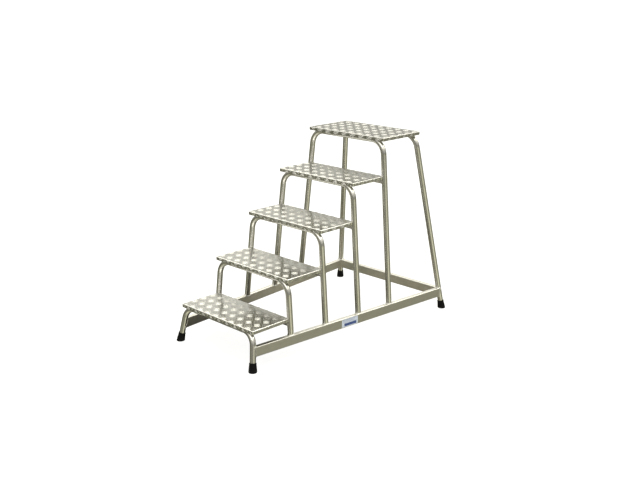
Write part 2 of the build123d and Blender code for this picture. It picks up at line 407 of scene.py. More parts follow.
def loop_span(loop, start, end, across, start_leg, end_leg):
    """A section's points at both ends of a straight run, each end shaped to its round leg.

    A leg is a point on its centre line and its axis. Returns two rings, start and end.
    """
    along = unit(end - start)
    offsets = loop[:, :1] * across + loop[:, 1:] * UP
    first = cylinder_reach(start + offsets, along, *start_leg, TUBE_RADIUS)
    last = cylinder_reach(end + offsets, -along, *end_leg, TUBE_RADIUS)
    return start + offsets + first[:, None] * along, end + offsets - last[:, None] * along


def coped_shell(outer_loop, inner_loop, start, end, across, start_leg, end_leg):
    """Hollow straight bar whose ends fit round two legs."""
    rings, grain = [], []
    for loop, order in ((outer_loop, 1), (inner_loop, -1)):
        ends = loop_span(loop, start, end, across, start_leg, end_leg)
        for ring in ends[::order]:
            along = (ring - start) @ unit(end - start)
            rings.append(ring)
            grain.append(np.concatenate([loop, along[:, None]], axis=1))
    return ring_solid(np.array(rings), np.array(grain), wrap=True)


def bar_loops():
    """Outside and bore of the cross bars' round section."""
    outer = circle_loop(BAR_TUBE_RADIUS, TUBE_SIDES)
    return outer, circle_loop(BAR_TUBE_RADIUS - BAR_TUBE_WALL, TUBE_SIDES)


def rail_loops():
    """Outside and bore of the rails' section."""
    height = RAIL_TOP - RAIL_BOTTOM
    outer = box_loop(RAIL_WIDTH, height, RAIL_EDGE, RAIL_ARC_STEPS, RAIL_SIDE_STEPS)
    width, height = RAIL_WIDTH - 2 * RAIL_WALL, height - 2 * RAIL_WALL
    return outer, box_loop(width, height, RAIL_EDGE - RAIL_WALL, RAIL_ARC_STEPS, RAIL_SIDE_STEPS)


# A bar's line is the two ends of its centre line, its sideways direction and the two legs it meets


def level_line(hoop, height):
    """Line of a level bar between a hoop's legs."""
    left, right = hoop.leg_at(-1, height), hoop.leg_at(1, height)
    return left, right, ALONG_Y, (left, hoop.leg_axis(-1)), (right, hoop.leg_axis(1))


def cross_bar_line(step):
    return level_line(front_hoop(step + 1), tread_top(step) - BAR_DROP)


def side_rail_line(side):
    """Line of a side rail, from the front hoop's leg to the rear hoop's."""
    front, rear = front_hoop(1), rear_hoop()
    start, end = front.leg_at(side, RAIL_MIDDLE), rear.leg_at(side, RAIL_MIDDLE)
    along = unit(end - start)
    across = vector(along[1], -along[0], 0)
    return start, end, across, (start, front.leg_axis(side)), (end, rear.leg_axis(side))


# ---------------------------------------------------------------- chequer-plate treads


class Tread:
    """One folded pan: its outline, its notches round the next hoop's legs and its pattern."""

    def __init__(self, step):
        self.step = step
        self.front = tread_front(step)
        self.rear = tread_rear(step)
        self.top = tread_top(step)
        self.notch = None
        if step < STEPS:
            self.notch = front_hoop(step + 1).leg_at(1, self.top)[:2]
        self.notch_radius = TUBE_RADIUS + NOTCH_GAP

    def half_outline(self, inset, bite):
        """Right half of the outline, from the middle of the front edge to that of the rear edge.

        The edges move in by the inset; the notch is a plain cut, bite wider than the leg's gap.
        """
        side = TREAD_HALF - inset
        front, rear = self.front + inset, self.rear - inset
        radius = max(CORNER_RADIUS - inset, EDGE_BREAK)
        angle = np.linspace(-math.pi / 2, 0, FOLD_STEPS)
        arc = radius * np.stack([np.cos(angle), np.sin(angle)], axis=-1)
        front_arc = vector(side - radius, front + radius) + arc
        if self.notch is None:
            rear_arc = vector(side - radius, rear - radius) + arc[::-1] * (1, -1)
            return np.concatenate([front_arc, rear_arc])
        reach = self.notch_radius + bite
        x, y = side - self.notch[0], rear - self.notch[1]
        first = math.atan2(-math.sqrt(reach**2 - x**2), x) % (2 * math.pi)
        last = math.atan2(y, -math.sqrt(reach**2 - y**2)) % (2 * math.pi)
        angle = np.linspace(first, last, 2 * FOLD_STEPS)
        notch_arc = self.notch + reach * np.stack([np.cos(angle), np.sin(angle)], axis=-1)
        return np.concatenate([front_arc, notch_arc])

    def ring(self, inset, height, bite=0.0):
        """The whole outline at one inset and height, anticlockwise from above."""
        right = self.half_outline(inset, bite)
        loop = np.concatenate([right, right[::-1] * (-1, 1)])
        return np.concatenate([loop, np.full((len(loop), 1), height)], axis=1)

    def pan_shell(self):
        """Plate, rounded fold and flange, then back up the inside to the plate's underside."""
        rim = self.top - FLANGE
        rings = []
        for angle in np.linspace(0, math.pi / 2, FOLD_STEPS):
            inset = FOLD_RADIUS * (1 - math.sin(angle))
            rings.append(self.ring(inset, self.top - FOLD_RADIUS * (1 - math.cos(angle))))
        rings.append(self.ring(0, rim + EDGE_BREAK))
        rings.append(self.ring(EDGE_BREAK, rim, EDGE_BREAK))
        rings.append(self.ring(PLATE - EDGE_BREAK, rim, PLATE - EDGE_BREAK))
        rings.append(self.ring(PLATE, rim + EDGE_BREAK, PLATE))
        inner = FOLD_RADIUS - PLATE
        for angle in np.linspace(math.pi / 2, 0, FOLD_STEPS // 2):
            inset = PLATE + inner * (1 - math.sin(angle))
            rings.append(self.ring(inset, self.top - PLATE - inner * (1 - math.cos(angle)), PLATE))
        rings = np.array(rings)
        return ring_solid(rings, (rings - (0, self.front, self.top)) * (1, 1, 0))

    def folded(self, sheet):
        """Flat-sheet points (across, back, height) wrapped over the folds on to the flanges.

        Past the start of a fold, distance d turns through d / FOLD_RADIUS, up to a quarter turn,
        and then runs straight down.
        """
        across, back, height = np.moveaxis(sheet, -1, 0)
        depth = self.rear - self.front
        x, drop_x, lift_x = fold(np.abs(across) - (TREAD_HALF - FOLD_RADIUS), height)
        y, drop_y, lift_y = fold(np.abs(back - depth / 2) - (depth / 2 - FOLD_RADIUS), height)
        x = np.sign(across) * (np.minimum(np.abs(across), TREAD_HALF - FOLD_RADIUS) + x)
        middle = np.minimum(np.abs(back - depth / 2), depth / 2 - FOLD_RADIUS) + y
        y = self.front + depth / 2 + np.sign(back - depth / 2) * middle
        z = self.top + height * np.minimum(lift_x, lift_y) - drop_x - drop_y
        return np.stack([x, y, z], axis=-1)

    def bar_shell(self):
        """Every raised bar of the sheet, cut off at its rims and folded with it.

        u runs from -1 to 1 across a bar and v along it, as far as the sheet's rims allow. The half
        width is a power of 1 - v^2, and the height is 1 - u^2 times a power of 1 - v^2.
        """
        depth = self.rear - self.front
        centres, axes = lay_groups(SHEET_OFFSETS[self.step])
        normals = np.stack([-axes[:, 1], axes[:, 0]], axis=-1)
        u = np.linspace(-1, 1, BAR_ACROSS)
        lines = centres[:, None] + u[:, None] * BAR_WIDTH / 2 * normals[:, None]
        low = np.full(lines.shape[:2], -BAR_TIP)
        high = -low
        for k, limit, middle in ((0, TREAD_HALF, 0), (1, depth / 2, depth / 2)):
            limit = limit - FOLD_RADIUS + SHEET_PAST
            ends = np.stack([-limit, limit])[:, None, None] + middle - lines[..., k]
            ends = np.sort(ends / (axes[:, k, None] * BAR_LENGTH / 2), axis=0)
            low, high = np.maximum(low, ends[0]), np.minimum(high, ends[1])
        whole = (high - low).min(axis=1) > BAR_SHORTEST
        centres, axes, normals, low, high = (a[whole] for a in (centres, axes, normals, low, high))
        v = low[:, None] + BAR_STATIONS[:, None] * (high - low)[:, None]
        side = u * BAR_WIDTH / 2 * (1 - v**2) ** BAR_SIDE_POWER
        height = BAR_HEIGHT * (1 - u**2) * (1 - v**2) ** BAR_END_POWER
        height[:, (0, -1)] = -BAR_SINK
        height[:, :, (0, -1)] = -BAR_SINK
        flat = centres[:, None, None] + v[..., None] * axes[:, None, None] * BAR_LENGTH / 2
        flat = flat + side[..., None] * normals[:, None, None]
        sheet = np.concatenate([flat, height[..., None]], axis=-1).reshape(len(flat), -1, 3)
        sheet = sheet[self.kept(sheet)]
        start = np.arange(len(sheet))[:, None, None] * sheet.shape[1]
        faces = [(face[None] + start).reshape(-1, face.shape[1]) for face in bar_faces()]
        return Shell(self.folded(sheet), faces, sheet)

    def kept(self, sheet):
        """Which bars lie clear of the sheet's cut corners and its notches."""
        depth = self.rear - self.front
        past_x = np.abs(sheet[..., 0]) - (TREAD_HALF - FOLD_RADIUS)
        past_y = np.abs(sheet[..., 1] - depth / 2) - (depth / 2 - FOLD_RADIUS)
        keep = ~((past_x > -BAR_CLEAR) & (past_y > -BAR_CLEAR)).any(axis=1)
        if self.notch is not None:
            offset = np.abs(sheet[..., :2]) + (0, self.front) - self.notch
            keep &= (np.linalg.norm(offset, axis=-1) > self.notch_radius + BAR_CLEAR).all(axis=1)
        return keep


def fold(past, height):
    """How far a point past a fold's start lies outwards and down, and how its height counts."""
    turn = np.clip(past / FOLD_RADIUS, 0, math.pi / 2)
    flat = np.maximum(past - FOLD_RADIUS * math.pi / 2, 0)
    outward = (FOLD_RADIUS + height) * np.sin(turn)
    return outward, FOLD_RADIUS * (1 - np.cos(turn)) + flat, np.cos(turn)


def bar_faces():
    """Faces of one bar: its domed grid, and one face below that closes it."""
    number = np.arange(len(BAR_STATIONS) * BAR_ACROSS).reshape(-1, BAR_ACROSS)
    rim = np.concatenate([number[0], number[1:, -1], number[-1, -2::-1], number[-2:0:-1, 0]])
    return [grid_faces(len(BAR_STATIONS), BAR_ACROSS)[:, ::-1], rim[None]]


def lay_groups(offset):
    """Middles and directions of the bars: groups at the corners of a square grid along one
    diagonal, and groups at the middles of its squares along the other."""
    shift = (np.arange(BARS_IN_GROUP) - (BARS_IN_GROUP - 1) / 2) * BAR_SPACING
    centres, axes = [], []
    for turn, move in ((math.pi / 4, 0), (-math.pi / 4, GROUP_PITCH / 2)):
        across = GROUPS_ACROSS * GROUP_PITCH + offset[0] + move
        back = GROUPS_BACK * GROUP_PITCH + offset[1] + move
        groups = np.stack(np.meshgrid(across, back, indexing="ij"), axis=-1).reshape(-1, 1, 2)
        axis = vector(math.cos(turn), math.sin(turn))
        spots = (groups + shift[:, None] * vector(-axis[1], axis[0])).reshape(-1, 2)
        centres.append(spots)
        axes.append(np.broadcast_to(axis, spots.shape))
    return np.concatenate(centres), np.concatenate(axes)


# ---------------------------------------------------------------- welds


def bead_shell(route, outward, width, height, closed):
    """Weld bead along a route: an oval rope that swells once for each ripple.

    Its half height is height x (1 + RIPPLE_DEPTH x cos(2 pi distance / pitch - lag)), where the
    lag grows down the flanks so that each ripple is a crescent. An open bead tapers to its ends
    as the square root of 1 - (place from -1 to 1)^BEAD_TAPER.
    """
    if closed:
        route = np.concatenate([route, route[:1]])
        outward = np.concatenate([outward, outward[:1]])
    distance = lengths_along(route)
    ripples = max(3, round(distance[-1] / RIPPLE_PITCH))
    count = ripples * STATIONS_PER_RIPPLE
    wanted = np.linspace(0, distance[-1], count + (not closed), endpoint=not closed)
    line = np.stack([np.interp(wanted, distance, route[:, k]) for k in range(3)], axis=-1)
    out = np.stack([np.interp(wanted, distance, outward[:, k]) for k in range(3)], axis=-1)
    if closed:
        along = unit(np.roll(line, -1, axis=0) - np.roll(line, 1, axis=0))
    else:
        along = unit(np.gradient(line, axis=0))
    out = unit(out - np.einsum("ij,ij->i", out, along)[:, None] * along)
    side = np.cross(along, out)
    loop = circle_loop(1, BEAD_SIDES)
    lag = RIPPLE_LAG * (1 - loop[:, 0])
    turn = 2 * math.pi * ripples * wanted[:, None] / distance[-1]
    swell = 1 + RIPPLE_DEPTH * np.cos(turn - lag)
    if not closed:
        share = np.linspace(-BEAD_REACH, BEAD_REACH, len(wanted))
        swell = swell * ((1 - share**BEAD_TAPER) ** 0.5)[:, None]
    rise = height * (swell * loop[:, 0])[..., None] * out[:, None]
    spread = width * (swell * loop[:, 1])[..., None] * side[:, None]
    rings = line[:, None] + rise + spread
    return ring_solid(rings, wrap=closed)


def leg_bead(hoop, side):
    """Bead round the foot of a leg that stands on a rail, dipping where the leg overhangs it."""
    centre = hoop.leg_at(side, RAIL_TOP)
    loop = circle_loop(1, TUBE_SIDES)
    start, end, across = side_rail_line(side)[:3]
    middle = start + (end - start) * (centre[1] - start[1]) / (end[1] - start[1])
    route = centre + np.pad(loop * (TUBE_RADIUS + BEAD_FOOT), ((0, 0), (0, 1)))
    overhang = np.abs((route - middle) @ across) - RAIL_WIDTH / 2 + OVERHANG_MARGIN
    overhang = np.clip(overhang, 0, OVERHANG_DIP)
    route[:, 2] += BEAD_FOOT - overhang
    rise = 1 - overhang / OVERHANG_LEAN
    outward = np.concatenate([loop, rise[:, None]], axis=1)
    return bead_shell(route, outward, BEAD_WIDTH, BEAD_HEIGHT, True)


def end_beads(loop, line):
    """Beads round both ends of a straight bar, where it meets its legs."""
    start, end, across = line[:3]
    along = unit(end - start)
    normals = loop_normals(loop)
    outward = normals[:, :1] * across + normals[:, 1:] * UP
    shells = []
    for ring, inward in zip(loop_span(loop, *line), (along, -along)):
        lean = unit(outward + inward)
        route = ring + lean * BEAD_FOOT
        shells.append(bead_shell(route, lean, BEAD_WIDTH, BEAD_HEIGHT, True))
    return shells


def straight_bead(middle, run, outward, width):
    """Tapered bead along a straight run, with its crown to one side."""
    route = middle + STITCH_SPREAD * run
    return bead_shell(route, np.broadcast_to(outward, route.shape), width, width, False)


def tread_stitches():
    """Stitches along X where the folds of the treads touch the tubes below them.

    They lie at the inner faces of the folds, a little further in over the thinner cross bars.
    """
    shells = []
    on_hoop, on_bar = PLATE * 0.95, PLATE * 1.2
    for x in (-STITCH_X, STITCH_X):
        for step in range(1, STEPS + 1):
            height = tread_top(step) - FLANGE - BEAD_WIDTH / 2
            rear_inset = on_bar if step < STEPS else on_hoop
            for y in (tread_front(step) + on_hoop, tread_rear(step) - rear_inset):
                run = vector(STITCH_LENGTH, 0, 0)
                shells.append(straight_bead(vector(x, y, height), run, -UP, BEAD_WIDTH))
    return shells


def corner_seams():
    """Fine beads down the front corners of the pans, and down the platform's rear corners."""
    shells = []
    inset = CORNER_RADIUS * (1 - math.sqrt(0.5)) + SEAM_SINK
    low, high = SEAM_SHORT - FLANGE, -FOLD_RADIUS * 0.6
    for step in range(1, STEPS + 1):
        corners = [(side, tread_front(step), -1) for side in SIDES]
        if step == STEPS:
            corners += [(side, tread_rear(step), 1) for side in SIDES]
        for side, y, way in corners:
            top = vector(side * (TREAD_HALF - inset), y - way * inset, tread_top(step))
            middle, run = top + UP * (low + high) / 2, UP * (high - low)
            shells.append(straight_bead(middle, run, vector(side, way, 0), SEAM_WIDTH))
    return shells


# ---------------------------------------------------------------- feet and label

# Rubber foot, from its sole up its outside and down its bore: reach along the leg and radius
FOOT_OUTSIDE = (
    (0.0000, 0.0188),
    (0.0006, 0.0199),
    (0.0020, 0.0208),
    (0.0040, 0.0210),
    (0.0082, 0.0209),
    (0.0094, 0.0205),
    (0.0100, 0.0198),
    (0.0112, 0.0197),
    (0.0118, 0.0203),
    (0.0130, 0.0206),
    (0.0152, 0.0204),
    (0.0164, 0.0201),
    (0.0170, 0.0194),
    (0.0182, 0.0193),
    (0.0188, 0.0198),
    (0.0202, 0.0199),
    (0.0260, 0.0191),
    (0.0340, 0.0182),
    (0.0388, 0.0177),
    (0.0398, 0.0180),
    (0.0410, 0.0183),
    (0.0430, 0.0183),
    (0.0443, 0.0179),
    (0.0450, 0.0170),
)
FOOT_BORE = (
    (0.0450, 0.0158),
    (0.0444, 0.0151),
    (0.0300, 0.0150),
    (0.0121, 0.0150),
    (0.0119, 0.0140),
)
FOOT_SIDES = 64
FOOT_SETTLE = 0.024


def foot_shell(hoop, side):
    """Moulded ferrule turned round the leg, whose lower ribs lie level with the floor.

    The floor meets a line at radius r whose spoke rises by k at reach -r k / (the axis's rise),
    and that shift fades out over FOOT_SETTLE as a smooth step.
    """
    axis = hoop.leg_axis(side)
    first = unit(np.cross(axis, ALONG_Y))
    loop = circle_loop(1, FOOT_SIDES)
    spokes = loop[:, :1] * first + loop[:, 1:] * np.cross(axis, first)
    profile = np.array(FOOT_OUTSIDE + FOOT_BORE)
    reach, radius = profile[:, :1], profile[:, 1:]
    share = np.clip(reach / FOOT_SETTLE, 0, 1)
    outside = (np.arange(len(profile)) < len(FOOT_OUTSIDE))[:, None]
    fade = (1 - share * share * (3 - 2 * share)) * outside
    reach = reach - radius * spokes[:, 2] / axis[2] * fade
    rings = hoop.leg_at(side, 0) + reach[..., None] * axis + radius[..., None] * spokes
    return ring_solid(rings)


LABEL_LENGTH = 0.110
LABEL_HEIGHT = 0.042
LABEL_CORNER = 0.003
LABEL_ARC_STEPS = 6
LABEL_SIDE_STEPS = 4
LABEL_RISE = 0.0003


def label_shell():
    """Thin foil with rounded corners on the right rail's outer face."""
    low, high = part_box("rail_label")
    start, end, across = side_rail_line(1)[:3]
    along = unit(end - start)
    middle = start + along * ((low.y + high.y) / 2 - start[1]) / along[1]
    loop = box_loop(LABEL_LENGTH, LABEL_HEIGHT, LABEL_CORNER, LABEL_ARC_STEPS, LABEL_SIDE_STEPS)
    flat = middle + across * RAIL_WIDTH / 2 + loop[:, :1] * along + loop[:, 1:] * UP
    rings = np.array([flat - across * LABEL_RISE, flat + across * LABEL_RISE])
    grain = np.zeros(rings.shape)
    grain[..., :2] = loop
    return ring_solid(rings, grain)


# ---------------------------------------------------------------- finishes


class Wire:
    """An output of a shader node; arithmetic on it adds Math nodes."""

    def __init__(self, board, socket):
        self.board = board
        self.socket = socket

    def maths(self, operation, *values):
        return self.board.add("ShaderNodeMath", {"operation": operation}, dict(enumerate(values)))

    def __add__(self, other):
        return self.maths("ADD", self, other)

    def __radd__(self, other):
        return self.maths("ADD", other, self)

    def __sub__(self, other):
        return self.maths("SUBTRACT", self, other)

    def __rsub__(self, other):
        return self.maths("SUBTRACT", other, self)

    def __mul__(self, other):
        return self.maths("MULTIPLY", self, other)

    def __rmul__(self, other):
        return self.maths("MULTIPLY", other, self)

    def __truediv__(self, other):
        return self.maths("DIVIDE", self, other)

    def __pow__(self, other):
        return self.maths("POWER", self, other)

    def most(self, other):
        return self.maths("MAXIMUM", self, other)

    def size(self):
        return self.maths("ABSOLUTE", self)

    def rise(self, low, high):
        """0 before low, 1 past high, and a smooth step between; high may lie below low."""
        values = {"Value": self, "From Min": low, "From Max": high}
        return self.board.add("ShaderNodeMapRange", {"interpolation_type": "SMOOTHSTEP"}, values)


class Board:
    """The nodes of one material or world."""

    def __init__(self, tree):
        self.tree = tree
        self.tree.nodes.clear()

    def add(self, kind, settings=None, values=None, output=0):
        """A node: its settings first, then the values or links of its sockets. Returns the wire
        of one output."""
        node = self.tree.nodes.new(kind)
        for name, setting in (settings or {}).items():
            setattr(node, name, setting)
        for name, value in (values or {}).items():
            self.put(node.inputs[name], value)
        return Wire(self, node.outputs[output]) if node.outputs else node

    def put(self, socket, value):
        if isinstance(value, Wire):
            self.tree.links.new(value.socket, socket)
        else:
            socket.default_value = value

    def object_place(self):
        return self.add("ShaderNodeTexCoord", output="Object")

    def grain(self):
        return self.add("ShaderNodeAttribute", {"attribute_name": "grain"}, output="Vector")

    def scaled(self, place, *factors):
        return self.add("ShaderNodeVectorMath", {"operation": "MULTIPLY"}, {0: place, 1: factors})

    def parts(self, place):
        split = self.add("ShaderNodeSeparateXYZ", None, {0: place}).socket.node
        return [Wire(self, output) for output in split.outputs]

    def noise(self, place, scale, detail=2.0, roughness=0.5):
        values = {"Vector": place, "Scale": scale, "Detail": detail, "Roughness": roughness}
        return self.add("ShaderNodeTexNoise", None, values)

    def blend(self, share, first, second):
        """Colour between two colours."""
        values = {0: share, 6: rgba(first), 7: rgba(second)}
        return self.add("ShaderNodeMix", {"data_type": "RGBA"}, values, output=2)

    def bump(self, height, distance):
        values = {"Height": height, "Distance": distance, "Strength": 1.0}
        return self.add("ShaderNodeBump", None, values)


def rgba(colour):
    return colour if isinstance(colour, Wire) else (*colour, 1)


class Finish(Board):
    """A material with one Principled shader."""

    def __init__(self, name):
        self.material = bpy.data.materials.new(name)
        self.material.use_nodes = True
        super().__init__(self.material.node_tree)

    def shade(self, **values):
        """Ends the material: underscores in the names stand for spaces."""
        sockets = {name.replace("_", " "): value for name, value in values.items()}
        shader = self.add("ShaderNodeBsdfPrincipled", None, sockets)
        self.add("ShaderNodeOutputMaterial", None, {"Surface": shader})
        return self.material


# Colours, as the finishes use them
PLATE_GREY, PLATE_PALE = (0.80, 0.80, 0.78), (0.87, 0.86, 0.83)
PLATE_CLOUD, PLATE_RUBBED = (0.74, 0.74, 0.71), (0.92, 0.92, 0.90)
TUBE_GREY, TUBE_GRIME, TUBE_STREAK = (0.80, 0.79, 0.76), (0.70, 0.69, 0.65), (0.86, 0.85, 0.82)
RAIL_GREY, RAIL_GRIME, RAIL_STREAK = (0.87, 0.86, 0.82), (0.77, 0.76, 0.71), (0.90, 0.89, 0.86)
WELD_PALE, WELD_GREY = (0.90, 0.90, 0.89), (0.72, 0.71, 0.68)
RUBBER_BLACK, RUBBER_DUST = (0.004, 0.004, 0.0045), (0.04, 0.038, 0.034)
ZINC_BLUE, ZINC_GREY = (0.62, 0.64, 0.66), (0.50, 0.51, 0.50)
FOIL_BLUE, FOIL_PALE = (0.50, 0.56, 0.66), (0.62, 0.67, 0.74)
PRINT_BLUE, PRINT_GREY = (0.035, 0.07, 0.22), (0.16, 0.20, 0.30)
FLOOR_GREY, FLOOR_PALE = (0.26, 0.26, 0.26), (0.28, 0.28, 0.27)
# Painted shade of the ground under the steps, on a sheet that only reflections see
SHADE_FRONT, SHADE_REAR = (0.060, 0.058, 0.046), (0.225, 0.212, 0.167)
SHADE_LAST = (0.11, 0.105, 0.084)

# Platform's plate: how much its colours are dimmed as painted shade, and how much its roughness is
# raised
PLATFORM_SHADE_TINT = 0.80
WORN_ROUGHNESS = 0.05


def chequer_finish(name, bright=1.0, dull=0.0):
    """Mill-finish aluminium plate: fine rolling lines, smudges, and bars rubbed bright on top.

    bright scales the colours, as painted shade where it is below 1, and dull is added to the
    roughness. A point's height on the bars is the third of its grain coordinates.
    """
    f = Finish(name)

    def toned(colour):
        return tuple(bright * part for part in colour)

    place = f.object_place()
    top = f.parts(f.grain())[2].rise(0.0002, 0.0011)
    rolling = f.noise(f.scaled(place, 1500, 30, 1500), 1.0, 3.0, 0.6)
    smudge = f.noise(place, 9.0, 4.0, 0.6)
    cloud = f.noise(place, 2.6, 2.0, 0.5)
    spots = f.noise(place, 160.0, 3.0, 0.7)
    rough = 0.165 + dull + (rolling - 0.5) * 0.07 + (smudge - 0.5) * 0.12
    rough = rough + (spots - 0.5) * 0.04 + top * 0.03
    tint = f.blend(smudge.rise(0.35, 0.7), toned(PLATE_GREY), toned(PLATE_PALE))
    tint = f.blend(cloud.rise(0.4, 0.75) * 0.35, tint, toned(PLATE_CLOUD))
    tint = f.blend(top, tint, toned(PLATE_RUBBED))
    normal = f.bump(rolling + spots * 0.5, 0.00004)
    return f.shade(Base_Color=tint, Metallic=1.0, Roughness=rough.most(0.1), Normal=normal)


def tube_finish():
    """Drawn aluminium tube: streaks along its length, with a little handling grime."""
    f = Finish("drawn_tube")
    grain, place = f.grain(), f.object_place()
    draw = f.noise(f.scaled(grain, 900, 900, 6), 1.0, 4.0, 0.65)
    bands = f.noise(f.scaled(grain, 130, 130, 2.5), 1.0, 2.0, 0.5)
    smudge = f.noise(place, 14.0, 4.0, 0.6)
    rough = 0.23 + (draw - 0.5) * 0.06 + (smudge - 0.5) * 0.08 + (bands - 0.5) * 0.05
    tint = f.blend(smudge.rise(0.35, 0.75), TUBE_GREY, TUBE_GRIME)
    tint = f.blend(bands.rise(0.45, 0.8) * 0.5, tint, TUBE_STREAK)
    normal = f.bump(draw, 0.00002)
    return f.shade(Base_Color=tint, Metallic=1.0, Roughness=rough.most(0.12), Normal=normal)


def rail_finish():
    """Extruded aluminium: duller, with die lines along it."""
    f = Finish("extruded_rail")
    grain, place = f.grain(), f.object_place()
    die = f.noise(f.scaled(grain, 1100, 1100, 4), 1.0, 4.0, 0.7)
    broad = f.noise(f.scaled(grain, 60, 60, 2), 1.0, 2.0, 0.5)
    smudge = f.noise(place, 11.0, 4.0, 0.6)
    rough = 0.34 + (die - 0.5) * 0.16 + (smudge - 0.5) * 0.16
    tint = f.blend(smudge.rise(0.3, 0.75), RAIL_GREY, RAIL_GRIME)
    tint = f.blend(broad.rise(0.4, 0.8) * 0.4, tint, RAIL_STREAK)
    normal = f.bump(die, 0.00003)
    return f.shade(Base_Color=tint, Metallic=1.0, Roughness=rough.most(0.15), Normal=normal)


def weld_finish():
    """Clean aluminium weld, pale with grey speckles."""
    f = Finish("weld_metal")
    speckle = f.noise(f.object_place(), 420.0, 3.0, 0.6)
    tint = f.blend(speckle.rise(0.35, 0.7), WELD_PALE, WELD_GREY)
    rough = 0.24 + (speckle - 0.5) * 0.2
    normal = f.bump(speckle, 0.0001)
    return f.shade(Base_Color=tint, Metallic=1.0, Roughness=rough, Normal=normal)


def rubber_finish():
    """Black moulded rubber with a fine grain and a little floor dust low down."""
    f = Finish("foot_rubber")
    place = f.object_place()
    fine = f.noise(place, 1400.0, 3.0, 0.6)
    patch = f.noise(place, 90.0, 3.0, 0.6)
    low = 1 - f.parts(place)[2].rise(0.001, 0.020)
    dust = low * patch.rise(0.4, 0.75) * 0.5
    tint = f.blend(dust, RUBBER_BLACK, RUBBER_DUST)
    rough = 0.50 + (patch - 0.5) * 0.2 + dust * 0.3
    normal = f.bump(fine, 0.00012)
    return f.shade(Base_Color=tint, Roughness=rough, Normal=normal, Specular_IOR_Level=0.12)


def washer_finish():
    """Zinc-plated steel."""
    f = Finish("washer_steel")
    speckle = f.noise(f.object_place(), 300.0, 3.0, 0.6)
    tint = f.blend(speckle, ZINC_BLUE, ZINC_GREY)
    return f.shade(Base_Color=tint, Metallic=1.0, Roughness=0.28 + speckle * 0.15)


# Plain bands of the label: left, right, low and high edges, measured from its middle
BLUE_BANDS = ((-0.039, 0.045, -0.0170, -0.0020), (-0.051, 0.051, 0.0160, 0.0172))
GREY_BANDS = (
    (-0.048, 0.020, 0.0120, 0.0131),
    (-0.048, 0.036, 0.0085, 0.0096),
    (-0.048, 0.028, 0.0050, 0.0061),
    (-0.048, 0.032, 0.0015, 0.0026),
)
BAND_BLUR = 0.0003


def label_finish():
    """Pale foil with a blue block, a blue rule and grey lines, all plain."""
    f = Finish("label_foil")
    grain = f.grain()
    along, up, _ = f.parts(grain)
    smear = f.noise(grain, 60.0, 3.0, 0.6)

    def between(place, low, high):
        half = (high - low) / 2
        return (place - (low + high) / 2).size().rise(half + BAND_BLUR, half)

    def bands(edges):
        """1 inside any of the bands and 0 outside them."""
        inside = [between(along, *band[:2]) * between(up, *band[2:]) for band in edges]
        whole = inside[0]
        for band in inside[1:]:
            whole = whole.most(band)
        return whole

    tint = f.blend(smear, FOIL_BLUE, FOIL_PALE)
    tint = f.blend(bands(BLUE_BANDS), tint, PRINT_BLUE)
    tint = f.blend(bands(GREY_BANDS) * 0.7, tint, PRINT_GREY)
    rough = 0.35 + smear * 0.1
    return f.shade(Base_Color=tint, Roughness=rough, Coat_Weight=0.4, Coat_Roughness=0.15)


def floor_finish():
    """Pale matt floor that gives a little light of its own, so that shadows stay faint."""
    f = Finish("pale_floor")
    tint = f.blend(f.noise(f.object_place(), 0.8, 2.0, 0.5), FLOOR_GREY, FLOOR_PALE)
    glow = {"Emission_Color": (1, 1, 1, 1), "Emission_Strength": 0.86}
    return f.shade(Base_Color=tint, Roughness=0.9, **glow)


def shade_finish():
    """Painted shade: matt grey that darkens to the front and again along the rear, standing in for
    the ground's shadow under the steps.
    """
    f = Finish("painted_shade_ground")
    y = f.parts(f.object_place())[1]
    tint = f.blend(y.rise(-0.4, 0.4), SHADE_FRONT, SHADE_REAR)
    tint = f.blend(y.rise(0.48, 0.60), tint, SHADE_LAST)
    return f.shade(Base_Color=tint, Roughness=0.9)


# ---------------------------------------------------------------- the block


def build_treads():
    """The five pans; the platform's plate is rougher, and darker as painted shade."""
    plate = chequer_finish("chequer_plate")
    # The platform's copy of the plate has its colours dimmed as painted shade, and is made rougher
    shaded_plate = chequer_finish("painted_shade_chequer_plate", PLATFORM_SHADE_TINT, WORN_ROUGHNESS)
    for step in range(1, STEPS + 1):
        tread = Tread(step)
        name, finish = f"chequer_tread_{step}", plate
        if step == STEPS:
            name, finish = "chequer_platform", shaded_plate
        shells = [tread.pan_shell(), tread.bar_shell()]
        weighted(piece(name, shells, finish, [tread_node(step)]), "flat_faces_lead")


def build_frame():
    """Hoops and cross bars."""
    tube = tube_finish()
    hoops = {f"front_frame_{step}": front_hoop(step) for step in range(1, STEPS + 1)}
    hoops["rear_frame"] = rear_hoop()
    for node, hoop in hoops.items():
        on_floor = node in ("front_frame_1", "rear_frame")
        leg_end = hoop.foot_at(1, FOOT_SOLE)[2] if on_floor else RAIL_TOP
        shells = [hoop_shell(hoop, leg_end, not on_floor)]
        weighted(piece(node + "_tube", shells, tube, [node]), "straights_lead")
    for step in range(1, STEPS):
        node = f"cross_bar_{step}"
        shells = [coped_shell(*bar_loops(), *cross_bar_line(step))]
        piece(node + "_tube", shells, tube, [node])


def rail_lines():
    """Each rail's node and line."""
    return {
        "left_rail": side_rail_line(-1),
        "right_rail": side_rail_line(1),
        "rear_rail": level_line(rear_hoop(), RAIL_MIDDLE),
    }


def build_rails():
    rail = rail_finish()
    for node, line in rail_lines().items():
        shells = [coped_shell(*rail_loops(), *line)]
        weighted(piece(node + "_bar", shells, rail, [node]), "flat_faces_lead")


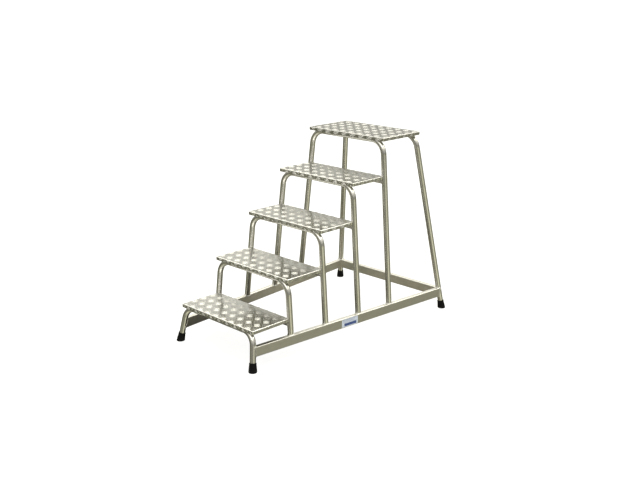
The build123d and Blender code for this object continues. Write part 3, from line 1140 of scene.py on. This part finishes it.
def build_welds():
    weld = weld_finish()
    legs = [leg_bead(front_hoop(step), side) for step in range(2, STEPS + 1) for side in SIDES]
    piece("leg_beads", legs, weld, ["leg_rail_welds"])
    outer = rail_loops()[0]
    ends = [shell for line in rail_lines().values() for shell in end_beads(outer, line)]
    piece("rail_end_beads", ends, weld, ["rail_end_welds"])
    outer = bar_loops()[0]
    rings = [shell for step in range(1, STEPS) for shell in end_beads(outer, cross_bar_line(step))]
    piece("cross_bar_beads", rings, weld, ["cross_bar_welds"])
    piece("tread_beads", tread_stitches() + corner_seams(), weld, ["tread_welds"])


def build_feet():
    """Rubber feet, and the steel of the washers inside them."""
    rubber = rubber_finish()
    for place, hoop in (("front", front_hoop(1)), ("rear", rear_hoop())):
        for hand, side in (("left", -1), ("right", 1)):
            node = f"foot_{place}_{hand}"
            piece(node + "_rubber", [foot_shell(hoop, side)], rubber, [node])
    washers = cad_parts["foot_washers"]
    steel = washer_finish()
    for place in range(len(washers.material_slots)):
        washers.material_slots[place].material = steel


# ---------------------------------------------------------------- stage, light and camera

FLOOR_RADIUS = 90.0
FLOOR_SIDES = 96
SHADE_INSET = 0.03
SHADE_RISE = 0.0005
LAMP_AT = (-1.5, -1.0, 4.5)
LAMP_AIM = (0, 0, 0.5)
LAMP_SIZE = 1.4
LAMP_POWER = 60
CAMERA_AT = (3.2193, -3.2142, 1.7983)
CAMERA_YAW = 0.774
CAMERA_PITCH = 0.2869
LENS = 50.27
SENSOR = 36.0


def stage_sheet(name, corners, finish):
    """One flat face of the stage."""
    mesh = bpy.data.meshes.new(name)
    mesh.from_pydata(np.asarray(corners, float).tolist(), [], [list(range(len(corners)))])
    mesh.materials.append(finish)
    sheet = bpy.data.objects.new(name, mesh)
    bpy.context.scene.collection.objects.link(sheet)
    return sheet


def build_floor():
    rim = np.pad(circle_loop(FLOOR_RADIUS, FLOOR_SIDES), ((0, 0), (0, 1)))
    stage_sheet("floor", rim, floor_finish()).visible_glossy = False


def build_shade():
    """Painted shade: grey ground inside the rails that only reflections see, so that the inner
    faces look dim.
    """
    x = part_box("right_rail")[1].x - SHADE_INSET
    front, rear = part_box("left_rail")[0].y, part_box("right_rail")[1].y - SHADE_INSET
    rise = SHADE_RISE
    corners = (-x, front, rise), (x, front, rise), (x, rear, rise), (-x, rear, rise)
    shade = stage_sheet("shade", corners, shade_finish())
    for rays in ("camera", "diffuse", "transmission", "volume_scatter", "shadow"):
        setattr(shade, "visible_" + rays, False)


def build_world():
    """Soft studio surround, white where the camera looks straight at it.

    Reflections see a dim ground and a sky that brightens twice on the way up and is calm at the
    zenith. Upright panels, each (cosine of the angle from its azimuth)^sharpness, put streaks on
    the tubes and light on the bends and the raised bars.
    """
    world = bpy.data.worlds.new("studio")
    world.use_nodes = True
    bpy.context.scene.world = world
    b = Board(world.node_tree)
    direction = b.add("ShaderNodeTexCoord", output="Generated")
    x, y, z = b.parts(direction)
    flat = ((x * x + y * y) ** 0.5).most(0.001)

    def panel(azimuth, sharpness):
        across, back = math.cos(math.radians(azimuth)), math.sin(math.radians(azimuth))
        return ((x * across + y * back) / flat).most(0.0) ** sharpness

    low = 0.25 + panel(-10, 12) * 0.66 - panel(202, 8) * 0.13
    low = low + panel(250, 4) * z.rise(-0.50, -0.72) * 0.6
    glow = z.rise(0.42, 0.62) * 0.50 + panel(62, 14) * z.rise(0.3, 0.6) * 3.0
    glow = glow + panel(305, 6) * z.rise(0.45, 0.62) * 1.6
    high = 0.20 + z.rise(0.12, 0.28) * 0.33 + panel(165, 4) * (1 - z.rise(0.3, 0.6)) * 0.20
    high = high + glow * (1 - z.rise(0.82, 0.96)) + z.rise(0.85, 0.97) * 0.08
    high = high + panel(135, 3) * z.rise(0.40, 0.60) * (1 - z.rise(0.92, 0.985)) * 1.60
    level = z.rise(-0.05, 0.08)
    strength = low * (1 - level) + high * level
    tint = b.blend(level, (1.0, 0.985, 0.72), (1.0, 0.98, 0.88))
    light = b.add("ShaderNodeBackground", None, {"Color": tint, "Strength": strength})
    white = {"Color": (1, 1, 1, 1), "Strength": 1.0}
    backdrop = b.add("ShaderNodeBackground", None, white)
    seen = b.add("ShaderNodeLightPath", output="Is Camera Ray")
    mixed = b.add("ShaderNodeMixShader", None, {0: seen, 1: light, 2: backdrop})
    b.add("ShaderNodeOutputWorld", None, {"Surface": mixed})


def build_lamp():
    """Broad lamp overhead that reflections don't see."""
    data = bpy.data.lights.new("overhead", "AREA")
    data.shape = "DISK"
    data.size = LAMP_SIZE
    data.energy = LAMP_POWER
    lamp = bpy.data.objects.new("overhead", data)
    lamp.location = LAMP_AT
    aim = Vector(LAMP_AIM) - Vector(LAMP_AT)
    lamp.rotation_euler = aim.to_track_quat("-Z", "Y").to_euler()
    lamp.visible_glossy = False
    bpy.context.scene.collection.objects.link(lamp)


def build_camera():
    data = bpy.data.cameras.new("camera")
    data.lens = LENS
    data.sensor_width = SENSOR
    data.clip_end = 4 * FLOOR_RADIUS
    camera = bpy.data.objects.new("camera", data)
    camera.location = CAMERA_AT
    camera.rotation_euler = (math.pi / 2 - CAMERA_PITCH, 0, CAMERA_YAW)
    bpy.context.scene.collection.objects.link(camera)
    bpy.context.scene.camera = camera


build_treads()
build_frame()
build_rails()
build_welds()
build_feet()
piece("rail_label_foil", [label_shell()], label_finish(), ["rail_label"])
build_floor()
build_shade()
build_world()
build_lamp()
build_camera()
bpy.context.scene.view_settings.view_transform = "Standard"
